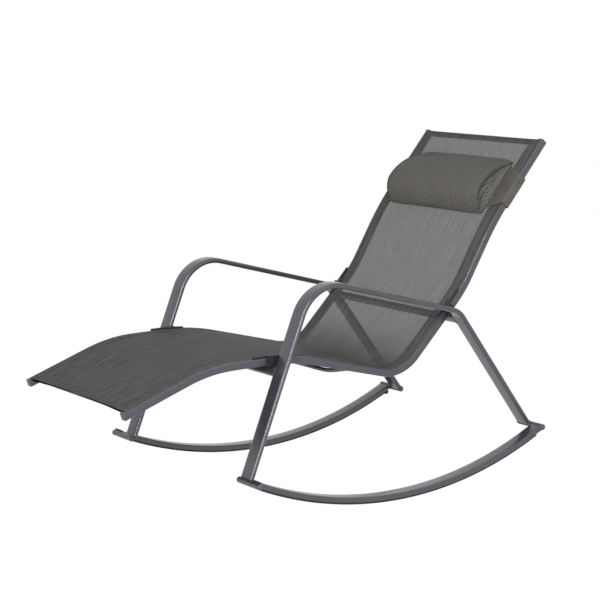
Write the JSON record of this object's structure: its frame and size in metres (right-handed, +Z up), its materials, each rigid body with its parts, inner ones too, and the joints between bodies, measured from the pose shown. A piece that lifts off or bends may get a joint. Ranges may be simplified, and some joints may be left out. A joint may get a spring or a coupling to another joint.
{
  "type": "rocking chaise lounge",
  "caption": "Zero gravity rocking lounger: a mesh sling stretched between bent rails, carried by armrest loops on rockers, with a padded headrest on a strap.",
  "frame": {"origin": "on the floor, under the middle of the whole chair's bounding box", "axes": "+X from the foot end to the head end, +Y from the sitter's left to the right, +Z up"},
  "size_m": [1.4192, 0.7496, 0.9556],
  "materials": {
    "powder_coated_steel": "satin powder coat, dark grey",
    "black_plastic": "moulded black nylon",
    "grey_plastic": "moulded grey nylon",
    "rubber": "black rubber",
    "sling_mesh": "open plain weave of coated yarn, grey",
    "pillow_mesh": "close plain weave of coated yarn, grey",
    "zinc_plated_steel": "zinc plated"
  },
  "bodies": {
    "chair": {"rocker_left": "powder_coated_steel", "rocker_tread_left": "rubber", "rocker_stop_left": "rubber", "stub_front_left": "powder_coated_steel", "stub_rear_left": "powder_coated_steel", "stub_plug_front_inner_left": "grey_plastic", "stub_plug_front_outer_left": "grey_plastic", "stub_plug_rear_inner_left": "grey_plastic", "stub_plug_rear_outer_left": "grey_plastic", "side_loop_left": "powder_coated_steel", "rail_left": "powder_coated_steel", "rail_cap_foot_left": "grey_plastic", "rail_cap_head_left": "grey_plastic", "keder_rod_left": "black_plastic", "clamp_front_left": "black_plastic", "clamp_rear_left": "black_plastic", "clamp_bolt_front_left": "zinc_plated_steel", "clamp_bolt_rear_left": "zinc_plated_steel", "rocker_right": "powder_coated_steel", "rocker_tread_right": "rubber", "rocker_stop_right": "rubber", "stub_front_right": "powder_coated_steel", "stub_rear_right": "powder_coated_steel", "stub_plug_front_inner_right": "grey_plastic", "stub_plug_front_outer_right": "grey_plastic", "stub_plug_rear_inner_right": "grey_plastic", "stub_plug_rear_outer_right": "grey_plastic", "side_loop_right": "powder_coated_steel", "rail_right": "powder_coated_steel", "rail_cap_foot_right": "grey_plastic", "rail_cap_head_right": "grey_plastic", "keder_rod_right": "black_plastic", "clamp_front_right": "black_plastic", "clamp_rear_right": "black_plastic", "clamp_bolt_front_right": "zinc_plated_steel", "clamp_bolt_rear_right": "zinc_plated_steel", "front_crossbar": "powder_coated_steel", "rear_crossbar": "powder_coated_steel", "top_cross_tube": "powder_coated_steel", "foot_spreader_tube": "powder_coated_steel", "seat_bow_spreader": "powder_coated_steel", "sling": "sling_mesh"},
    "headrest": {"headrest_pillow": "pillow_mesh", "headrest_band": "sling_mesh"}
  },
  "joints": [
    {"name": "headrest_slide", "type": "slide", "parent": "chair", "child": "headrest", "axis": [0.6457, 0, 0.7636], "range_m": [-0.05, 0.055]}
  ]
}
